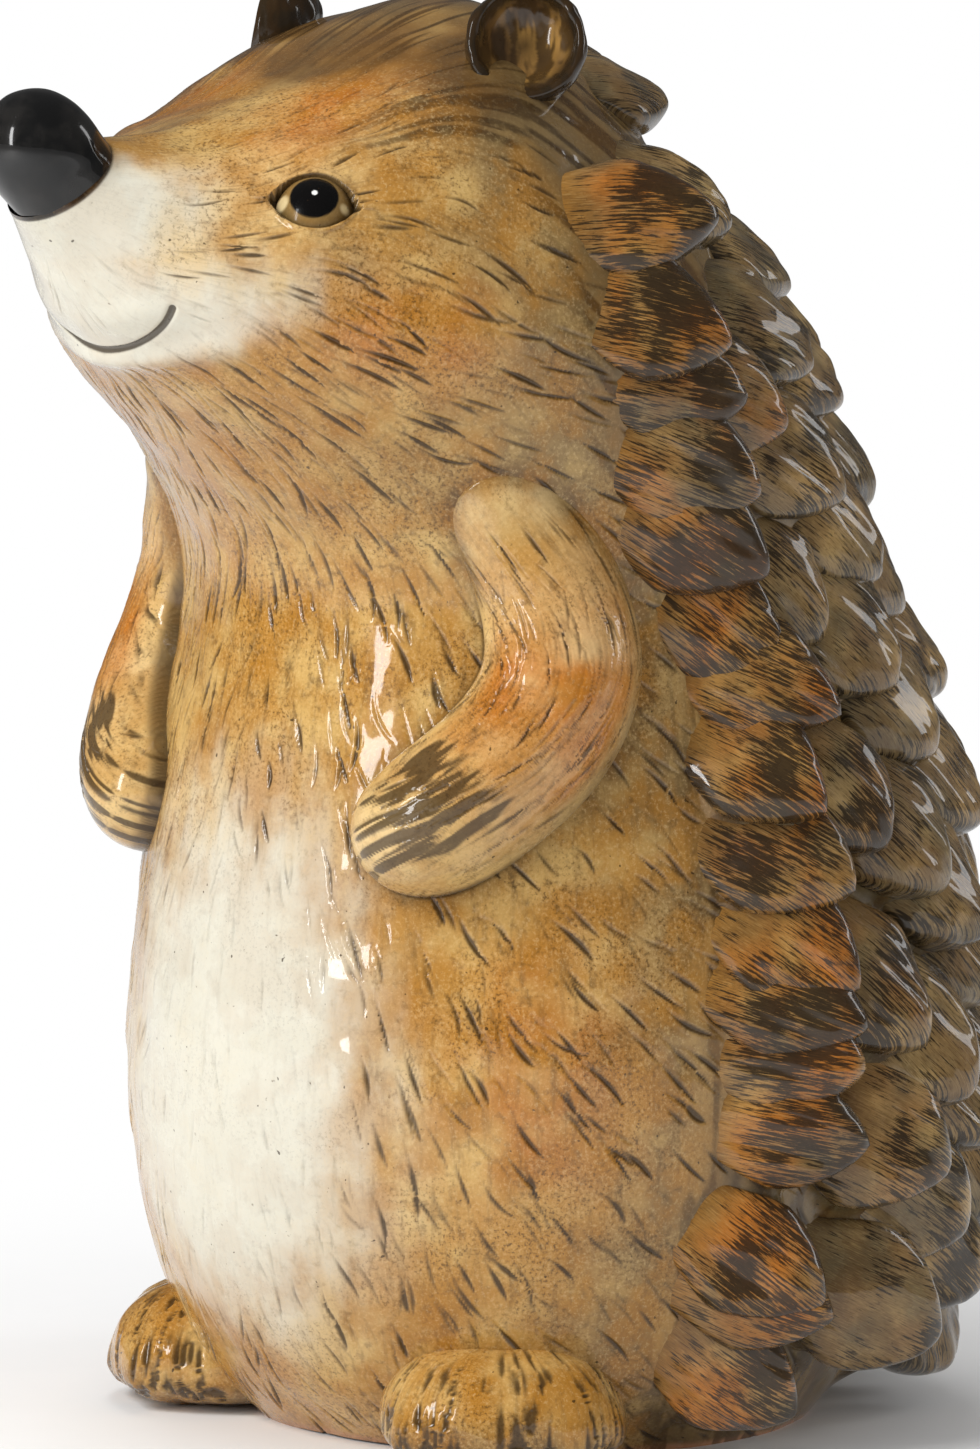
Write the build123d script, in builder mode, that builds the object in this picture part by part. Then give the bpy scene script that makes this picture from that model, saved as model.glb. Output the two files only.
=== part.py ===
from build123d import *
from math import cos, radians, sin
from typing import NamedTuple
import os

# Hedgehog figurine in hand-painted glazed earthenware, sitting upright with its nose raised.
# Millimetres. +Z is up, the face looks along -Y and the animal's left side is +X.
# The base rests on z = 0, and the origin is the middle of the base.

# Clay walls
wall = 6.0
slab_thickness = 7.0
vent_radius = 9.0
vent_y = 30.0
arm_seat_gap = 0.2
nose_seat_gap = 0.4

# The seam between the front and back halves of the hollow body, on the middle plane
seam_base_y = 8.0
seam_lean = 5.0

# Nose and eyes
nose_bulge = 0.8
nose_height = 20.0
eye_radius = 8.5
eye_sink = 3.0
eye_station = 9.6
eye_angle = 85.0

# Ears
ear_radius = 12.0
ear_thickness = 8.0
ear_dish_depth = 4.0
ear_rim = 2.6
ear_rise = 1.5
ear_station = 8.95
ear_angle = 132.0
ear_facing = 50.0
ear_pitch = 10.0

# Feet
foot_angle = 45.0
foot_reach = 89.0
foot_half_length = 26.0
foot_half_width = 25.5
foot_height = 27.0
foot_middle_z = 6.0

# Spines: roof-tile scales in staggered rows, their tips down and back
spine_length = 42.0
spine_width = 27.0
spine_thickness = 9.0
spine_sink = 3.0
spine_lift = 21.0
spine_sweep = 48.0
spine_sections = ((0, 0.6, 0.8), (0.35, 0.95, 1), (0.7, 0.95, 1), (0.92, 0.6, 0.65), (1, 0.25, 0.3))
spine_pitch_angle = 22.5
spine_row_drop = 0.85
spine_station_step = 0.54
spine_rows = 14
lowest_spine_station = 1.8
highest_spine_station = 8.95
spine_ground_gap = 1.5

# Fringe: a column of smaller spines where the fur ends, at these stations and angles
fringe_edge = ((1.6, 70), (4.2, 75), (5.6, 73), (6.8, 71), (7.4, 75), (8.8, 104))
fringe_size = 0.66
fringe_lift = 17.0
fringe_station_step = 0.46
fringe_count = 16
fringe_room = 11.0


class Ring(NamedTuple):
    """One section of the bent body: its ends on the middle plane as (y, z), and its half width."""

    front: tuple
    back: tuple
    half_width: float


base_ring = Ring((-57, 0), (57, 0), 60)
hip_ring = Ring((-70, 15), (68, 15), 70)
lap_ring = Ring((-80, 40), (79, 40), 80)
belly_ring = Ring((-84, 75), (83, 75), 84)
waist_ring = Ring((-82, 110), (82, 110), 82)
chest_ring = Ring((-77, 144), (77, 147), 77)
throat_ring = Ring((-73, 178), (66, 182), 72)
nape_ring = Ring((-84, 202), (47, 225), 71)
cheek_ring = Ring((-102, 220.5), (20, 262), 67)
brow_ring = Ring((-113, 230.5), (-21, 297), 51.5)
muzzle_ring = Ring((-121.5, 240.5), (-75, 279), 31.5)
bridge_ring = Ring((-126.5, 248.5), (-97.5, 273.5), 21.5)
nose_ring = Ring((-132.8, 256.8), (-116.2, 271.2), 11.5)
body_rings = [base_ring, hip_ring, lap_ring, belly_ring, waist_ring, chest_ring, throat_ring]
body_rings += [nape_ring, cheek_ring, brow_ring, muzzle_ring, bridge_ring, nose_ring]
body_stations = [step / 2 for step in range(2 * len(body_rings) - 1)]
hollow_stations = [station for station in body_stations if station <= body_rings.index(brow_ring)]


class Joint(NamedTuple):
    """One section of an arm: where it lies on the skin, its radius and its height over the skin."""

    station: float
    angle: float
    radius: float
    lift: float


shoulder = Joint(6.6, 50, 10, -5)
upper_arm = Joint(6.02, 55.5, 14.5, -2)
elbow = Joint(5.48, 58, 16, -1)
forearm = Joint(5.0, 47, 17, 0)
hand = Joint(4.68, 36.5, 15.5, 0.5)
arm_joints = [shoulder, upper_arm, elbow, forearm, hand]


def blend(values, station):
    """Smooth curve through evenly numbered values."""
    index = min(max(int(station), 0), len(values) - 2)
    f = station - index
    before = values[max(index - 1, 0)]
    here = values[index]
    after = values[index + 1]
    beyond = values[min(index + 2, len(values) - 1)]
    straight = 2 * here + (after - before) * f
    bend = (2 * before - 5 * here + 4 * after - beyond) * f**2
    twist = (3 * here - before - 3 * after + beyond) * f**3
    return (straight + bend + twist) / 2


def ring_at(station):
    """The section of the body at a station. The rings are the whole-numbered stations."""
    front_y = blend([ring.front[0] for ring in body_rings], station)
    front_z = blend([ring.front[1] for ring in body_rings], station)
    back_y = blend([ring.back[0] for ring in body_rings], station)
    back_z = blend([ring.back[1] for ring in body_rings], station)
    half_width = blend([ring.half_width for ring in body_rings], station)
    return Ring((front_y, front_z), (back_y, back_z), half_width)


def skin(station, angle):
    """A point of the body's skin. The angle is 0 in front, 90 on the left side and 180 behind."""
    ring = ring_at(station)
    front = Vector(0, *ring.front)
    back = Vector(0, *ring.back)
    side = Vector(ring.half_width * sin(radians(angle)), 0, 0)
    return (front + back) / 2 + (front - back) * (cos(radians(angle)) / 2) + side


def skin_plane(station, angle):
    """A plane on the skin: its normal points out, its x axis runs down the body from the head."""
    down = skin(station - 0.02, angle) - skin(station + 0.02, angle)
    around = skin(station, angle + 0.5) - skin(station, angle - 0.5)
    return Plane(skin(station, angle), x_dir=down, z_dir=down.cross(around))


def ring_plane(ring):
    """The plane of a body section: x is the animal's left, y runs from the front to the back."""
    front = Vector(0, *ring.front)
    back = Vector(0, *ring.back)
    return Plane((front + back) / 2, x_dir=(1, 0, 0), z_dir=(front - back).cross(Vector(1, 0, 0)))


def ring_half_depth(ring):
    return (Vector(0, *ring.front) - Vector(0, *ring.back)).length / 2


def fringe_angle(station):
    """The angle at which the fur ends and the spines begin."""
    for (low, low_angle), (high, high_angle) in zip(fringe_edge, fringe_edge[1:]):
        if station <= high:
            break
    return low_angle + (high_angle - low_angle) * (station - low) / (high - low)


def spine_places(row):
    """Stations and angles from the middle of the back of one side's spines in a row.

    Rows are staggered by half a spine, and sink towards the flanks, where the spines sweep back.
    """
    first = spine_pitch_angle / 2 if row % 2 else 0
    places = []
    for step in range(6):
        offset = first + spine_pitch_angle * step
        station = lowest_spine_station + row * spine_station_step - spine_row_drop * (offset / 90) ** 2
        on_back = lowest_spine_station <= station <= highest_spine_station
        if on_back and 180 - offset >= fringe_angle(station) + fringe_room:
            places.append((station, offset))
    return places


def spine_plane(station, angle, lift):
    """Where a spine is rooted: x runs along the spine to its tip, z out of its upper face."""
    root = skin_plane(station, angle)
    sweep_turn = radians(spine_sweep * (180 - angle) / 90)
    lift_turn = radians(lift)
    along = root.x_dir * cos(sweep_turn) + root.y_dir * sin(sweep_turn)
    tip_way = along * cos(lift_turn) + root.z_dir * sin(lift_turn)
    face_way = root.z_dir * cos(lift_turn) - along * sin(lift_turn)
    return Plane(root.origin - root.z_dir * spine_sink, x_dir=tip_way, z_dir=face_way)


def spine_form(station, angle, size, lift):
    """A spine through oval sections, widest past its middle and round at the tip."""
    root = spine_plane(station, angle, lift)
    with BuildPart() as spine:
        for along, width, thickness in spine_sections:
            middle = root.origin + root.x_dir * (along * spine_length * size)
            with BuildSketch(Plane(middle, x_dir=root.y_dir, z_dir=root.x_dir)):
                Ellipse(width * spine_width * size / 2, thickness * spine_thickness * size / 2)
        loft()
    return spine.part


os.makedirs("parts", exist_ok=True)

# The outer form of the body, and the hollow inside it
with BuildPart() as body_form:
    for station in body_stations:
        ring = ring_at(station)
        with BuildSketch(ring_plane(ring)):
            Ellipse(ring.half_width, ring_half_depth(ring))
    loft()

with BuildPart() as hollow:
    for station in hollow_stations:
        ring = ring_at(station)
        with BuildSketch(ring_plane(ring)):
            Ellipse(ring.half_width - wall, ring_half_depth(ring) - wall)
    loft()

# Eyes: balls pressed into sockets
eye_plane = skin_plane(eye_station, eye_angle)

with BuildPart() as left_eye:
    with Locations(eye_plane.offset(-eye_sink)):
        Sphere(eye_radius)

with BuildPart() as right_eye:
    add(mirror(left_eye.part, about=Plane.YZ))

# The hollow body in two halves, joined at a seam that hides under the first spines
seam_way = Vector(0, cos(radians(seam_lean)), sin(radians(seam_lean)))
seam = Plane((0, seam_base_y, 0), x_dir=(1, 0, 0), z_dir=seam_way)

with BuildPart() as front_shell:
    add(body_form.part)
    add(hollow.part, mode=Mode.SUBTRACT)
    add(left_eye.part, mode=Mode.SUBTRACT)
    add(right_eye.part, mode=Mode.SUBTRACT)
    split(bisect_by=seam, keep=Keep.BOTTOM)

with BuildPart() as back_shell:
    add(body_form.part)
    add(hollow.part, mode=Mode.SUBTRACT)
    split(bisect_by=seam, keep=Keep.TOP)

# The slab that closes the bottom, with a vent for the kiln
with BuildPart() as base_slab:
    add(hollow.part)
    split(bisect_by=Plane.XY.offset(slab_thickness), keep=Keep.BOTTOM)
    with Locations((0, vent_y, 0)):
        Cylinder(vent_radius, 3 * slab_thickness, mode=Mode.SUBTRACT)

# Nose: a round-ended button on the flat end of the snout
nose_radius = nose_ring.half_width
nose_plane = ring_plane(nose_ring).offset(nose_seat_gap)

with BuildPart() as nose:
    with BuildSketch(Plane.XZ):
        with BuildLine():
            Polyline((0, nose_height), (0, 0), (nose_radius, 0))
            Spline(
                (nose_radius, 0),
                (nose_radius + nose_bulge, nose_height * 0.35),
                (nose_radius * 0.72, nose_height * 0.86),
                (0, nose_height),
                tangents=((0.5, 1), (-1, 0)),
            )
        make_face()
    revolve(axis=Axis.Z)

nose_placed = nose_plane.location * nose.part

# Ears: dished discs set into the sides of the crown
ear_axis = Vector(sin(radians(ear_facing)), -cos(radians(ear_facing)), sin(radians(ear_pitch)))
ear_plane = Plane(skin(ear_station, ear_angle) + Vector(0, 0, ear_rise), z_dir=ear_axis)

with BuildPart() as ear_form:
    with BuildSketch(ear_plane.offset(-ear_thickness / 2)):
        Circle(ear_radius)
    extrude(amount=ear_thickness)
    fillet(ear_form.edges(), ear_rim * 0.6)
    with Locations(ear_plane.offset(ear_thickness / 2 + ear_radius)):
        Sphere(ear_radius + ear_dish_depth - ear_rim / 2, mode=Mode.SUBTRACT)

with BuildPart() as left_ear:
    add(ear_form.part)
    add(body_form.part, mode=Mode.SUBTRACT)

with BuildPart() as right_ear:
    add(mirror(ear_form.part, about=Plane.YZ))
    add(body_form.part, mode=Mode.SUBTRACT)

# Arms: bent rolls lying on the chest, rounded at the hand
arm_points = []
for joint in arm_joints:
    arm_points.append(skin_plane(joint.station, joint.angle).offset(joint.lift).origin)
arm_ways = [arm_points[1] - arm_points[0]]
for here in range(1, len(arm_points) - 1):
    arm_ways.append(arm_points[here + 1] - arm_points[here - 1])
arm_ways.append(arm_points[-1] - arm_points[-2])

with BuildPart() as arm_form:
    for joint, point, way in zip(arm_joints, arm_points, arm_ways):
        with BuildSketch(Plane(point, z_dir=way)):
            Circle(joint.radius)
    loft()
    with Locations(arm_points[-1]):
        Sphere(hand.radius)

with BuildPart() as arm_seat:
    for station in body_stations:
        ring = ring_at(station)
        with BuildSketch(ring_plane(ring)):
            Ellipse(ring.half_width + arm_seat_gap, ring_half_depth(ring) + arm_seat_gap)
    loft()

with BuildPart() as left_arm:
    add(arm_form.part)
    add(arm_seat.part, mode=Mode.SUBTRACT)

with BuildPart() as right_arm:
    add(mirror(left_arm.part, about=Plane.YZ))

# Feet: round toes standing out from under the belly
foot_way = Vector(sin(radians(foot_angle)), -cos(radians(foot_angle)), 0)
foot_middle = foot_way * (foot_reach - foot_half_length) + Vector(0, 0, foot_middle_z)
foot_plane = Plane(foot_middle, x_dir=foot_way, z_dir=(0, 0, 1))

with BuildPart() as foot_form:
    Sphere(1)
    scale(by=(foot_half_length, foot_half_width, foot_height - foot_middle_z))

foot_placed = foot_plane.location * foot_form.part

with BuildPart() as left_foot:
    add(foot_placed)
    split(bisect_by=Plane.XY, keep=Keep.TOP)
    add(body_form.part, mode=Mode.SUBTRACT)

with BuildPart() as right_foot:
    add(mirror(foot_placed, about=Plane.YZ))
    split(bisect_by=Plane.XY, keep=Keep.TOP)
    add(body_form.part, mode=Mode.SUBTRACT)

pieces = {
    "front_shell": front_shell.part,
    "back_shell": back_shell.part,
    "base_slab": base_slab.part,
    "nose": nose_placed,
    "left_eye": left_eye.part,
    "right_eye": right_eye.part,
    "left_ear": left_ear.part,
    "right_ear": right_ear.part,
    "left_arm": left_arm.part,
    "right_arm": right_arm.part,
    "left_foot": left_foot.part,
    "right_foot": right_foot.part,
}

# The ground under the figure, which the lowest spines are trimmed clear of
with BuildPart() as ground:
    with Locations((0, 0, spine_ground_gap)):
        ground_width = 4 * belly_ring.half_width
        Box(ground_width, ground_width, spine_length, align=(Align.CENTER, Align.CENTER, Align.MAX))

# Spines, row by row from the base to the crown
for row in range(spine_rows):
    spines = []
    for station, offset in spine_places(row):
        size = ring_at(station).half_width / belly_ring.half_width
        spines.append(spine_form(station, 180 - offset, size, spine_lift))
        if offset > 0:
            spines.append(spine_form(station, 180 + offset, size, spine_lift))
    with BuildPart() as spine_row:
        add(spines)
        add(body_form.part, mode=Mode.SUBTRACT)
        add(ground.part, mode=Mode.SUBTRACT)
    pieces[f"spine_row_{row + 1:02d}"] = spine_row.part

for name, side in (("left_fringe", 1), ("right_fringe", -1)):
    tufts = []
    for step in range(fringe_count):
        station = fringe_edge[0][0] + step * fringe_station_step
        tufts.append(spine_form(station, 180 - side * (180 - fringe_angle(station)), fringe_size, fringe_lift))
    with BuildPart() as fringe:
        add(tufts)
        add(body_form.part, mode=Mode.SUBTRACT)
    pieces[name] = fringe.part

for name, piece in pieces.items():
    piece.label = name
    export_step(piece, f"parts/{name}.step")
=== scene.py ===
import bpy
import numpy as np
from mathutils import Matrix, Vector, kdtree
from mathutils.bvhtree import BVHTree


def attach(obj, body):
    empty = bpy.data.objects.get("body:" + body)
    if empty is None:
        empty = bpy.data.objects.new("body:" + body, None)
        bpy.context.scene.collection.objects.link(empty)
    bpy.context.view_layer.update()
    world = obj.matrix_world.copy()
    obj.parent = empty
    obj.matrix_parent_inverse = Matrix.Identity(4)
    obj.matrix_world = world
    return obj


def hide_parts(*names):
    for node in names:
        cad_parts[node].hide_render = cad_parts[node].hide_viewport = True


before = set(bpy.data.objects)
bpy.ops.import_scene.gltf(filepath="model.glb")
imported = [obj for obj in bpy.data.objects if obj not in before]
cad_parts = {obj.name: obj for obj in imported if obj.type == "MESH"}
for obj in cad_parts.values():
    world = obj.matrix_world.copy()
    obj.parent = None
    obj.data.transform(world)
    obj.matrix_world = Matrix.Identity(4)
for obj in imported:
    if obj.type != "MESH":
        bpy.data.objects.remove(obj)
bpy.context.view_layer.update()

# Hedgehog figurine in hand-painted glazed earthenware. Shapes are worked out in millimetres.
# +Z is up, the face looks along -Y and the animal's left side is +X.
MM = 0.001
rng = np.random.default_rng(7)

# Sections of the bent body, from the base to the nose: front (y, z), back (y, z) and half width
BODY_RINGS = [
    ((-57, 0), (57, 0), 60),
    ((-70, 15), (68, 15), 70),
    ((-80, 40), (79, 40), 80),
    ((-84, 75), (83, 75), 84),
    ((-82, 110), (82, 110), 82),
    ((-77, 144), (77, 147), 77),
    ((-73, 178), (66, 182), 72),
    ((-84, 202), (47, 225), 71),
    ((-102, 220.5), (20, 262), 67),
    ((-113, 230.5), (-21, 297), 51.5),
    ((-121.5, 240.5), (-75, 279), 31.5),
    ((-126.5, 248.5), (-97.5, 273.5), 21.5),
    ((-132.8, 256.8), (-116.2, 271.2), 11.5),
]
RING_FRONT = np.array([ring[0] for ring in BODY_RINGS], float)
RING_BACK = np.array([ring[1] for ring in BODY_RINGS], float)
RING_HALF_WIDTH = np.array([ring[2] for ring in BODY_RINGS], float)
LAST_STATION = len(BODY_RINGS) - 1.0
SEAM_ANGLE = 101.0
BODY_GIRTH_RADIUS = 70

# Arm joints: station, angle, half width and height over the skin
ARM_JOINTS = np.array([
    (6.62, 50.0, 10.0, 3.0),
    (6.34, 52.5, 13.5, 9.0),
    (5.96, 55.0, 15.5, 12.5),
    (5.55, 55.5, 16.5, 15.0),
    (5.20, 51.0, 16.5, 16.0),
    (4.93, 44.0, 16.0, 16.5),
    (4.72, 37.0, 15.5, 16.0),
    (4.62, 32.5, 13.0, 14.5),
])
ARM_SAMPLES = 64
ARM_SEAT_DEPTH = 3.2

# Spines: size, slope and layout on the back
SPINE_LENGTH = 44.0
SPINE_HALF_WIDTH = 16.6
SPINE_THICKNESS = 11.5
SPINE_SINK = 3.4
SPINE_GROUND_GAP = 1.5
SPINE_LIFT = 19.5
SPINE_SWEEP = 48.0
SPINE_PITCH_ANGLE = 22.5
SPINE_ROW_DROP = 0.85
SPINE_STATION_STEP = 0.54
SPINE_ROWS = 14
LOWEST_SPINE_STATION = 1.8
HIGHEST_SPINE_STATION = 8.95

# Fringe: small rusty spines where the fur ends, at these stations and angles
FRINGE_STATIONS = (1.6, 4.2, 5.6, 6.8, 7.4, 8.8)
FRINGE_ANGLES = (70, 75, 73, 71, 75, 104)
FRINGE_SIZE = 0.70
FRINGE_LIFT = 20.0
FRINGE_STATION_STEP = 0.46
FRINGE_COUNT = 16
FRINGE_ROOM = 11.0

EYE_STATION = 9.6
EYE_ANGLE = 85.0
EYE_RADIUS = 8.4
EAR_STATION = 8.95
EAR_ANGLE = 132.0
EAR_RADIUS = 12.2
NOSE_HEIGHT = 20.0
FOOT_ANGLE = 45.0
FOOT_MIDDLE_REACH = 63.0
FOOT_LEVEL = 8.0
SIDES = (("left", 1), ("right", -1))
UPWARD = np.array([0, 0, 1.0])

# How finely each mesh is made, as rows and columns
BODY_ROWS, FRONT_COLUMNS, BACK_COLUMNS = 760, 640, 220
SPINE_GRID = 44, 72
ARM_GRID = 330, 330
FOOT_GRID = 150, 220
EAR_GRID = 90, 120
NOSE_GRID = 80, 120
EYE_GRID = 96, 144

# Scratched strokes: points along each one, and how many there are or how far apart they lie
STROKE_SAMPLES = 60
STROKE_WIDEST = 0.25
FUR_ROW_GAP = 5.5
FUR_STROKE_GAP = 6.2
FUR_REACH_ANGLE = 150
ARM_STROKES = 260
FOOT_FRONT_STROKES = 90
FOOT_TOP_STROKES = 40

# Soft clay between the spines, and how far its ground lies under their tops
VALLEY_STATIONS = np.linspace(1.0, 9.6, 400)
VALLEY_ANGLES = np.linspace(46, 314, 620)
VALLEY_CAST = 45.0
VALLEY_DEPTH = 2.6
VALLEY_BLUR = 4

MOUTH_HALF_ANGLE = 31
EYE_HALF_LENGTH = 9.6
ARM_EDGE = -0.08

# Camera and aim, in degrees and metres
AZIMUTH, ELEVATION = 50.0, 7.0
CAMERA_DISTANCE = 2.0
CAMERA_LENS = 236.6


def linear(red, green, blue):
    """A paint colour from its 0 to 255 values."""
    c = np.array([red, green, blue]) / 255.0
    return np.where(c <= 0.04045, c / 12.92, ((c + 0.055) / 1.055) ** 2.4)


CREAM = linear(214, 210, 194)
BUFF = linear(208, 172, 106)
PALE = linear(226, 196, 142)
TAN = linear(182, 139, 72)
OCHRE = linear(168, 112, 30)
RUST = linear(186, 106, 24)
FLAME = linear(178, 102, 24)
UMBER = linear(92, 66, 36)
STAIN = linear(52, 37, 20)
CHARCOAL = linear(35, 28, 19)
PEBBLE = linear(112, 98, 70)
SAND = linear(182, 152, 98)
OLIVE = linear(78, 67, 46)
HAZE = linear(138, 114, 74)
CLAY = linear(190, 140, 104)
INK = linear(20, 20, 20)


def ease(low, high, x):
    """0 at the low end, 1 at the high end, and smooth between them."""
    f = np.clip((x - low) / (high - low), 0, 1)
    return f * f * (3 - 2 * f)


def mix(a, b, weight):
    weight = np.asarray(weight)[..., None]
    return a * (1 - weight) + b * weight


def squared(v, power):
    """A wave made rounder or boxier, with its sign kept."""
    return np.sign(v) * np.abs(v) ** power


def tint(paint, pigment, weight, limit=1):
    """A pigment over a paint, up to a limit."""
    return mix(paint, pigment, np.clip(weight, 0, limit))


def unit(v):
    return v / np.maximum(np.linalg.norm(v, axis=-1, keepdims=True), 1e-9)


def mound(u, v, middle, spread):
    """A soft bump, 1 at its middle and fading over its spread."""
    return np.exp(-(((u - middle[0]) / spread[0]) ** 2 + ((v - middle[1]) / spread[1]) ** 2))


def lattice_value(cell, seed):
    """A repeatable value from -1 to 1 for each whole-numbered cell."""
    h = cell[..., 0] * 374761393 + cell[..., 1] * 668265263 + cell[..., 2] * 2147483647 + seed * 144665
    h = (h ^ (h >> 13)) * 1274126177
    h = h ^ (h >> 16)
    return (h & 0xFFFF) / 32767.5 - 1.0


def noise(points, size, seed, octaves=2):
    """Smooth noise over points in millimetres, with bumps of about the given size."""
    total = np.zeros(points.shape[:-1])
    weight = 1.0
    for octave in range(octaves):
        q = points / size * 2.0**octave + 17.3 * seed
        cell = np.floor(q).astype(np.int64)
        f = q - cell
        f = f * f * (3 - 2 * f)
        layer = 0.0
        for corner in range(8):
            step = np.array([corner & 1, corner >> 1 & 1, corner >> 2 & 1])
            share = np.prod(np.where(step, f, 1 - f), axis=-1)
            layer = layer + share * lattice_value(cell + step, seed + octave)
        total += weight * layer
        weight *= 0.5
    return total


def blend(values, station):
    """Smooth curve through evenly numbered values."""
    station = np.asarray(station, float)
    count = len(values)
    index = np.clip(np.floor(station).astype(int), 0, count - 2)
    f = station - index
    if values.ndim > 1:
        f = f[..., None]
    before = values[np.clip(index - 1, 0, count - 1)]
    here = values[index]
    after = values[index + 1]
    beyond = values[np.clip(index + 2, 0, count - 1)]
    bend = (2 * before - 5 * here + 4 * after - beyond) * f**2
    twist = (3 * here - before - 3 * after + beyond) * f**3
    return (2 * here + (after - before) * f + bend + twist) / 2


def skin(station, angle):
    """Points of the body's plain skin. The angle is 0 in front, 90 on the left and 180 behind."""
    station, angle = np.broadcast_arrays(np.asarray(station, float), np.asarray(angle, float))
    front = blend(RING_FRONT, station)
    back = blend(RING_BACK, station)
    turn = np.cos(np.radians(angle))[..., None]
    middle = (front + back) / 2 + (front - back) / 2 * turn
    x = blend(RING_HALF_WIDTH, station) * np.sin(np.radians(angle))
    return np.stack([x, middle[..., 0], middle[..., 1]], -1)


def skin_axes(station, angle):
    """Point, outward normal, way down the body and way round it."""
    station = np.asarray(station, float)
    low = np.clip(station - 0.03, 0, LAST_STATION)
    high = np.clip(station + 0.03, 0, LAST_STATION)
    down = unit(skin(low, angle) - skin(high, angle))
    around = unit(skin(station, angle + 0.5) - skin(station, angle - 0.5))
    out = unit(np.cross(down, around))
    return skin(station, angle), out, down, unit(np.cross(out, down))


def axes_at(station, angle):
    """The same for one place on the skin."""
    return [v[0] for v in skin_axes(np.array([station]), np.array([angle]))]


def skin_scale(station, angle):
    """Millimetres on the skin in one station and in one degree."""
    per_station = np.linalg.norm(skin(station + 0.05, angle) - skin(station - 0.05, angle), axis=1) / 0.1
    return per_station, np.linalg.norm(skin(station, angle + 0.5) - skin(station, angle - 0.5), axis=1)


def side_of(angle):
    """Degrees from the front, the same on both sides."""
    a = np.mod(angle + 180.0, 360.0) - 180.0
    return np.abs(a)


def limb_curve(points, count):
    """A smooth curve through a few points."""
    return blend(np.asarray(points, float), np.linspace(0, len(points) - 1, count))


# Meshes

def grid_quads(rows, columns, wrap):
    across = columns if wrap else columns - 1
    i, j = np.meshgrid(np.arange(rows - 1), np.arange(across), indexing="ij")
    right = (j + 1) % columns
    here, above = i * columns, (i + 1) * columns
    quads = np.stack([here + j, here + right, above + right, above + j], -1)
    u = np.stack([j, j + 1, j + 1, j], -1) / max(across, 1)
    v = np.stack([i, i, i + 1, i + 1], -1) / max(rows - 1, 1)
    return quads.reshape(-1, 4), np.stack([u, v], -1).reshape(-1, 2)


def piece_mesh(name, vertices, quads, uv, values):
    """A smooth mesh with per-point values that its material reads."""
    mesh = bpy.data.meshes.new(name)
    mesh.from_pydata((vertices * MM).astype(np.float32), [], quads)
    layer = mesh.uv_layers.new(name="OFBake")
    layer.data.foreach_set("uv", (uv * 0.98 + 0.01).astype(np.float32).ravel())
    for key, data in values.items():
        data = np.asarray(data, np.float32)
        if data.ndim == 1:
            mesh.attributes.new(key, "FLOAT", "POINT").data.foreach_set("value", data)
        elif key == "Paint":
            colour = np.concatenate([data, np.ones((len(data), 1), np.float32)], 1)
            mesh.attributes.new(key, "FLOAT_COLOR", "POINT").data.foreach_set("color", colour.ravel())
        else:
            mesh.attributes.new(key, "FLOAT_VECTOR", "POINT").data.foreach_set("vector", data.ravel())
    mesh.polygons.foreach_set("use_smooth", np.ones(len(mesh.polygons), bool))
    mesh.update()
    return mesh


def place(name, mesh, material, node):
    """A visible piece in the part's frame, standing for one of its nodes."""
    obj = bpy.data.objects.new(name, mesh)
    bpy.context.scene.collection.objects.link(obj)
    mesh.materials.append(material)
    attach(obj, "root")
    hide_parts(node)


def place_grid(name, points, grid_size, wrap, values, material, node):
    quads, uv = grid_quads(*grid_size, wrap)
    place(name, piece_mesh(name, points, quads, uv, values), material, node)


def grid_normals(grid):
    """Normals of a grid of points that closes on itself across, by differences both ways."""
    across = np.roll(grid, -1, 1) - np.roll(grid, 1, 1)
    return unit(np.cross(across, np.gradient(grid, axis=0))).reshape(-1, 3)


# Materials

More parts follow.
